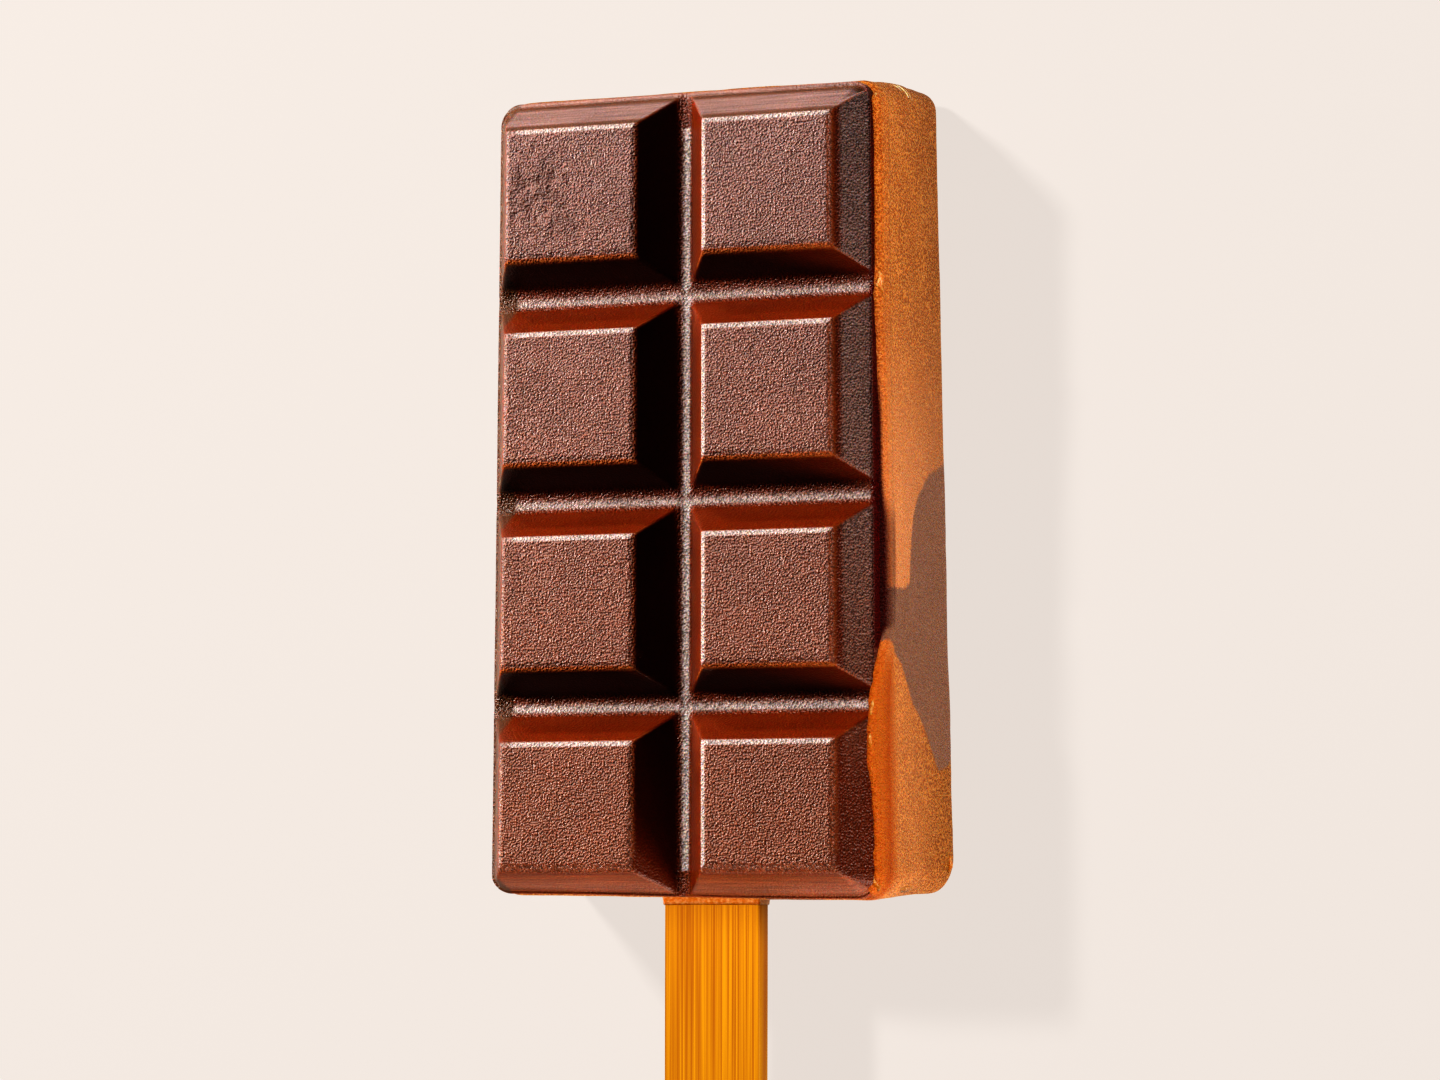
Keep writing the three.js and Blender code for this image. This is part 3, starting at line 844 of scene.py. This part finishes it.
def mixOf(tree, amount, first, second, blend="MIX"):
    node = addNode(tree, "ShaderNodeMix", data_type="RGBA", blend_type=blend)
    for index, value in ((0, amount), (6, first), (7, second)):
        if isinstance(value, bpy.types.NodeSocket):
            tree.links.new(value, node.inputs[index])
        else:
            node.inputs[index].default_value = value if index == 0 else (*value, 1)
    return node.outputs[2]


def bumpOf(tree, height, distance, strength=1.0):
    inputs = {"Height": height, "Distance": distance * mm, "Strength": strength}
    return addNode(tree, "ShaderNodeBump", inputs).outputs["Normal"]


def attributeOf(tree, name):
    return addNode(tree, "ShaderNodeAttribute", attribute_name=name).outputs["Fac"]


chocolateLook = {
    "bare": (0.088, 0.0135, 0.0006),  # steep faces
    "warm": (0.195, 0.055, 0.0105),  # painted glow on edges that look down or right and on the foot slope, also the ledges' warm colour
    "paintedHighlight": (0.245, 0.198, 0.184),  # painted highlight in the grooves and on the rims
    "footBloomAndSheen": (0.146, 0.061, 0.035),  # level faces near the foot, where the painted sheen is warmer and duller
    "topBloomAndSheen": (0.137, 0.088, 0.080),  # and near the top, where the painted sheen is greyer and paler
    "worn": (0.065, 0.030, 0.023),
    "brown": (0.062, 0.024, 0.011),
    "gap": (0.05, 0.0015, 0.0007),  # painted shade along the caramel
    "cloudShade": 0.07,  # how much the colour varies over some millimetres
    "skinShade": 0.4,  # and in the fine grain
    "streak": (7.0, 0.28, 0.28),  # length, width and depth of the mould streaks
    "streakShade": 0.3,
    "roughness": (0.36, 0.42),  # bare and with bloom and painted sheen
    "skinSize": 0.19,
    "skinHeight": 0.19,
    "glow": 0.4,  # light carried through the chocolate near its surface
    "glowReach": (0.6, 0.15, 0.05),
}


def chocolateMaterial():
    look = chocolateLook
    material, tree, shader = newMaterial("milk_chocolate")
    place = placeOf(tree)
    clouds = noiseOf(tree, place, 5.0, 3.0)
    skin = noiseOf(tree, place, look["skinSize"], 0.0)
    # bloom with painted sheen on the level faces and outer slopes, painted greyer and paler towards the top
    bloomAndSheen = attributeOf(tree, "bloomAndSheen")
    axes = addNode(tree, "ShaderNodeSeparateXYZ", {"Vector": place}).outputs
    upwards = rangeOf(tree, axes["Y"], crossingY + plateFoot, crossingY + plateTop)
    pale = mixOf(tree, upwards, look["footBloomAndSheen"], look["topBloomAndSheen"])
    # painted glow: warm chocolate on edges turned away from the key light and on the foot slope
    warmthAndGlow = attributeOf(tree, "warmthAndGlow")
    bare = mixOf(tree, warmthAndGlow, look["bare"], look["warm"])
    # painted highlights in the grooves and on the rims, over the bare chocolate and the bloom with painted sheen
    colour = mixOf(tree, attributeOf(tree, "paintedHighlight"), mixOf(tree, bloomAndSheen, bare, pale), look["paintedHighlight"])
    # darker brown: painted shade on the leftmost side, and lines along the top slope
    colour = mixOf(tree, attributeOf(tree, "brown"), colour, look["brown"])
    # painted shade in the gap along the caramel
    colour = mixOf(tree, attributeOf(tree, "gap"), colour, look["gap"])
    cloudy = rangeOf(tree, clouds, 0.35, 0.65, 1 - look["cloudShade"], 1 + look["cloudShade"])
    skinStrength = attributeOf(tree, "skin")
    grainShade = mathOf(tree, "MULTIPLY", rangeOf(tree, skin, 0.3, 0.7, -look["skinShade"], look["skinShade"]), skinStrength)
    grainy = mathOf(tree, "ADD", grainShade, 1)
    streaks = noiseOf(tree, placeOf(tree, look["streak"]), 1.0, 2.0, 0.6)
    streakShade = rangeOf(tree, streaks, 0.3, 0.7, -look["streakShade"], look["streakShade"])
    streaky = mathOf(tree, "MULTIPLY_ADD", attributeOf(tree, "streaks"), streakShade)
    tree.nodes[-1].inputs[2].default_value = 1
    shade = mathOf(tree, "MULTIPLY", mathOf(tree, "MULTIPLY", cloudy, grainy), streaky)
    colour = addNode(tree, "ShaderNodeVectorMath", {0: colour, "Scale": shade}, operation="SCALE").outputs[0]
    scuff = mathOf(tree, "MULTIPLY", attributeOf(tree, "scuff"), noiseOf(tree, place, 0.8, 3.0))
    worn = rangeOf(tree, scuff, 0.3, 0.6)
    tree.links.new(mixOf(tree, worn, colour, look["worn"]), shader.inputs["Base Color"])
    roughness = mathOf(tree, "ADD", rangeOf(tree, bloomAndSheen, 0, 1, *look["roughness"]), mathOf(tree, "MULTIPLY", warmthAndGlow, 0.3))
    tree.links.new(roughness, shader.inputs["Roughness"])
    tree.links.new(bumpOf(tree, skin, look["skinHeight"], skinStrength), shader.inputs["Normal"])
    shader.inputs["Specular IOR Level"].default_value = 0.15
    shader.inputs["Subsurface Weight"].default_value = look["glow"]
    shader.inputs["Subsurface Radius"].default_value = look["glowReach"]
    shader.inputs["Subsurface Scale"].default_value = mm
    return material


caramelLook = {
    "gap": (0.06, 0.0035, 0.0008),  # painted shade in the sunk gap beside the chocolate
    "dark": (0.30, 0.094, 0.011),
    "light": (0.58, 0.235, 0.050),
    "pale": (0.60, 0.262, 0.115),  # painted light: paler caramel round the brown patch
    "deep": (0.47, 0.135, 0.008),  # painted shade near the lip
    # painted shade in the crease
    "creaseShade": (0.37, 0.085, 0.002),
    "backShade": 0.68,  # painted shade: how much darker the sides are towards the back
    "brown": (0.20, 0.095, 0.055),
    "brownLight": (0.28, 0.145, 0.090),
    "grainSize": 0.2,
    "grainHeight": 0.3,
    "roughness": 0.55,
    "glow": 0.5,
    "glowReach": (1.2, 0.5, 0.15),
}


def caramelMaterial():
    look = caramelLook
    material, tree, shader = newMaterial("caramel_with_cocoa_marbling")
    place = placeOf(tree)
    clouds = noiseOf(tree, place, 6.0, 3.0)
    grain = noiseOf(tree, place, look["grainSize"], 0.0)
    mixed = mathOf(tree, "ADD", mathOf(tree, "MULTIPLY", clouds, 0.2), mathOf(tree, "MULTIPLY", grain, 0.8))
    colour = rampOf(tree, mixed, [(0.4, look["dark"]), (0.6, look["light"])])
    # painted light: paler caramel on the upper and middle part of the right side
    colour = mixOf(tree, mathOf(tree, "MULTIPLY", attributeOf(tree, "pale"), 0.8), colour, look["pale"])
    axes = addNode(tree, "ShaderNodeSeparateXYZ", {"Vector": place}).outputs
    # painted shade: deeper, darker orange on the front near the lip, strongest along the lower lip
    nearFront = rangeOf(tree, mathOf(tree, "ADD", axes["Z"], mathOf(tree, "MULTIPLY", clouds, 1.2)), 14.8, 17.2)
    lowerLip = rangeOf(tree, axes["Y"], crossingY - 12, crossingY - 16, 0.3, 1)
    nearLip = mathOf(tree, "MULTIPLY", mathOf(tree, "MULTIPLY", nearFront, lowerLip), rangeOf(tree, axes["X"], 15, 17.5))
    colour = mixOf(tree, nearLip, colour, look["deep"])
    # painted shade in the crease between the side and the lower lip
    colour = mixOf(tree, mathOf(tree, "MULTIPLY", attributeOf(tree, "creaseShade"), 0.95), colour, look["creaseShade"])
    # painted shade: the sides darker towards the back
    shade = rangeOf(tree, axes["Z"], 1.5, 14.5, look["backShade"], 1)
    colour = addNode(tree, "ShaderNodeVectorMath", {0: colour, "Scale": shade}, operation="SCALE").outputs[0]
    edge = mathOf(tree, "ADD", attributeOf(tree, "marbling"), mathOf(tree, "MULTIPLY_ADD", grain, 0.5))
    marbled = rangeOf(tree, edge, 0.15, 0.4)
    brown = mixOf(tree, grain, look["brown"], look["brownLight"])
    colour = mixOf(tree, marbled, colour, brown)
    # painted shade in the sunk gap beside the chocolate
    tree.links.new(mixOf(tree, attributeOf(tree, "gap"), colour, look["gap"]), shader.inputs["Base Color"])
    tree.links.new(bumpOf(tree, grain, look["grainHeight"]), shader.inputs["Normal"])
    shader.inputs["Roughness"].default_value = look["roughness"]
    shader.inputs["Specular IOR Level"].default_value = 0.25
    shader.inputs["Subsurface Weight"].default_value = look["glow"]
    shader.inputs["Subsurface Radius"].default_value = look["glowReach"]
    shader.inputs["Subsurface Scale"].default_value = mm
    return material


crumbLook = {
    "deep": (0.52, 0.17, 0.010),
    "cream": (0.95, 0.62, 0.34),
    "roughness": 0.4,
}


def crumbMaterial():
    look = crumbLook
    material, tree, shader = newMaterial("caramel_crumbs_and_threads")
    grain = noiseOf(tree, placeOf(tree), 0.3, 1.0)
    pale = mathOf(tree, "ADD", attributeOf(tree, "pale"), rangeOf(tree, grain, 0.3, 0.7, -0.25, 0.25))
    tree.links.new(mixOf(tree, pale, look["deep"], look["cream"]), shader.inputs["Base Color"])
    shader.inputs["Roughness"].default_value = look["roughness"]
    shader.inputs["Subsurface Weight"].default_value = caramelLook["glow"]
    shader.inputs["Subsurface Radius"].default_value = caramelLook["glowReach"]
    shader.inputs["Subsurface Scale"].default_value = mm
    return material


woodLook = {
    "dark": (0.34, 0.120, 0.0008),
    "light": (0.54, 0.260, 0.0030),
    "fibre": (0.15, 24.0, 1.2),  # width, length and depth of a fibre
    "fibreHeight": 0.02,
    "roughness": 0.5,
}


def woodMaterial():
    look = woodLook
    material, tree, shader = newMaterial("golden_stick_wood")
    place = placeOf(tree, look["fibre"])
    fibres = noiseOf(tree, place, 1.0, 0.0)
    bands = noiseOf(tree, placeOf(tree, (1.3, 60.0, 2.0)), 1.0, 2.0)
    mixed = mathOf(tree, "ADD", mathOf(tree, "MULTIPLY", fibres, 0.9), mathOf(tree, "MULTIPLY", bands, 0.1))
    tree.links.new(rampOf(tree, mixed, [(0.25, look["dark"]), (0.75, look["light"])]), shader.inputs["Base Color"])
    tree.links.new(bumpOf(tree, fibres, look["fibreHeight"]), shader.inputs["Normal"])
    shader.inputs["Roughness"].default_value = look["roughness"]
    shader.inputs["Specular IOR Level"].default_value = 0.2
    return material


plate = buildChocolatePlate()
plate.data.materials.append(chocolateMaterial())
print("chocolate face built:", len(plate.data.polygons), "faces")
slab = buildCaramelBody()
slabFinish = caramelMaterial()
slab.data.materials.append(slabFinish)
print("caramel body built:", len(slab.data.polygons), "faces")
crumbFinish = crumbMaterial()
ring = buildCollar()
ring.data.materials.append(crumbFinish)
bits = buildCrumbs(slab)
bits.data.materials.append(crumbFinish)
print("crumbs and threads built:", len(bits.data.polygons), "faces")
handle = buildStick()
handle.data.materials.append(woodMaterial())
print("stick built:", len(handle.data.polygons), "faces")

# Floor, lights and camera
studio = {
    "floorColour": (0.022, 0.021, 0.020),
    "floorGlow": (0.49, 0.455, 0.43),  # lit from below, as on a light table
    "world": 0.01,
    "lightColour": (1.0, 0.97, 0.94),
    # name, way towards the light, distance m, width m, height m, power W, and where they aren't
    # all the pieces, those that it lights and those that cast its shadows
    "lights": [
        ("key", (-0.42, 0.39, 0.68), 0.70, 0.07, 0.07, 8.1, ["chocolate_bar_face", "floor"]),
        ("left", (-0.84, 0.38, 0.39), 0.70, 0.10, 0.10, 3.1, ["chocolate_bar_face"]),
        ("leftRims", (-0.97, 0.12, 0.19), 0.50, 0.12, 0.04, 2.0, ["chocolate_bar_face"]),
        ("topRims", (-0.35, 0.90, 0.24), 0.50, 0.12, 0.04, 1.4, ["chocolate_bar_face"]),
        ("right", (0.80, -0.60, -0.03), 0.32, 0.20, 0.015, 1.1, ["chocolate_bar_face"],
         ["chocolate_bar_face"]),
        ("foot", (0.10, -1.0, -0.04), 0.35, 0.30, 0.012, 1.2, ["chocolate_bar_face"],
         ["chocolate_bar_face"]),
        ("caramelKey", (-0.42, 0.39, 0.68), 0.70, 0.07, 0.07, 3.7, 
         ["caramel_slab", "caramel_collar", "caramel_crumbs"], ["caramel_slab"]),
        ("caramelFill", (0.85, 0.05, 0.50), 0.50, 0.20, 0.20, 1.8,
         ["caramel_slab", "caramel_collar", "caramel_crumbs", "wooden_stick"]),
        ("caramelFoot", (0.10, -1.0, 0.0), 0.35, 0.30, 0.012, 0.9, ["caramel_slab"]),
        ("stickFill", (-0.50, 0.50, 0.68), 0.70, 0.07, 0.07, 5.9, ["wooden_stick", "caramel_collar"],
         ["wooden_stick"]),
    ],
}
camera = {  # turned about the bar's length, its width and the line of sight, in degrees
    "yaw": 24.26,
    "pitch": -4.21,
    "roll": -0.12,
    "aside": (-3.13, 3.80),  # where the crossing lies beside and above the line of sight, mm
    "distance": 470.37,
    "focalLength": 5207.46,  # in pixels of an image 1440 wide
    "imageWidth": 1440,
}


def turned(degrees, axis):
    return np.array(Matrix.Rotation(math.radians(degrees), 3, axis))


def addCamera():
    turn = turned(camera["roll"], "Z") @ turned(camera["pitch"], "X") @ turned(-camera["yaw"], "Y")
    offset = np.array([*camera["aside"], -camera["distance"]])
    place = -turn.T @ offset + [0, crossingY, grooveLevel]
    data = bpy.data.cameras.new("camera")
    data.sensor_fit = "HORIZONTAL"
    data.sensor_width = 36
    data.lens = camera["focalLength"] * data.sensor_width / camera["imageWidth"]
    data.clip_start = 0.01
    seen = bpy.data.objects.new("camera", data)
    seen.matrix_world = Matrix.Translation(Vector(place * mm)) @ Matrix(turn.T.tolist()).to_4x4()
    bpy.context.scene.collection.objects.link(seen)
    bpy.context.scene.camera = seen


def addLight(name, way, distance, width, height, power, lit=(), shading=()):
    data = bpy.data.lights.new(name, "AREA")
    data.shape = "RECTANGLE"
    data.size, data.size_y = width, height
    data.energy = power
    data.color = studio["lightColour"]
    light = bpy.data.objects.new(name, data)
    middle = Vector((0, crossingY * mm, grooveLevel * mm))
    way = Vector(way).normalized()
    light.location = middle + way * distance
    light.rotation_euler = way.to_track_quat("Z", "Y").to_euler()
    light.visible_camera = False
    for use, pieces in (("receiver", lit), ("blocker", shading)):
        if pieces:
            chosen = bpy.data.collections.new(name + use)
            for piece in pieces:
                chosen.objects.link(bpy.data.objects[piece])
            setattr(light.light_linking, use + "_collection", chosen)
    bpy.context.scene.collection.objects.link(light)


def addFloor():
    mesh = bpy.data.meshes.new("floor")
    half = 3.0
    mesh.from_pydata([(-half, -half, 0), (half, -half, 0), (half, half, 0), (-half, half, 0)], [], [(0, 1, 2, 3)])
    floor = bpy.data.objects.new("floor", mesh)
    floor.location.z = -0.00005
    bpy.context.scene.collection.objects.link(floor)
    material, _, shader = newMaterial("pale_floor")
    shader.inputs["Base Color"].default_value = (*studio["floorColour"], 1)
    shader.inputs["Emission Color"].default_value = (*studio["floorGlow"], 1)
    shader.inputs["Emission Strength"].default_value = 1
    shader.inputs["Roughness"].default_value = 0.9
    mesh.materials.append(material)


addCamera()
addFloor()
for settings in studio["lights"]:
    addLight(*settings)
world = bpy.data.worlds.new("studio_air")
world.use_nodes = True
world.node_tree.nodes["Background"].inputs["Strength"].default_value = studio["world"]
world.node_tree.nodes["Background"].inputs["Color"].default_value = (1, 1, 1, 1)
bpy.context.scene.world = world
bpy.context.scene.view_settings.view_transform = "Standard"
bpy.context.scene.view_settings.look = "Very High Contrast"
print("studio ready")
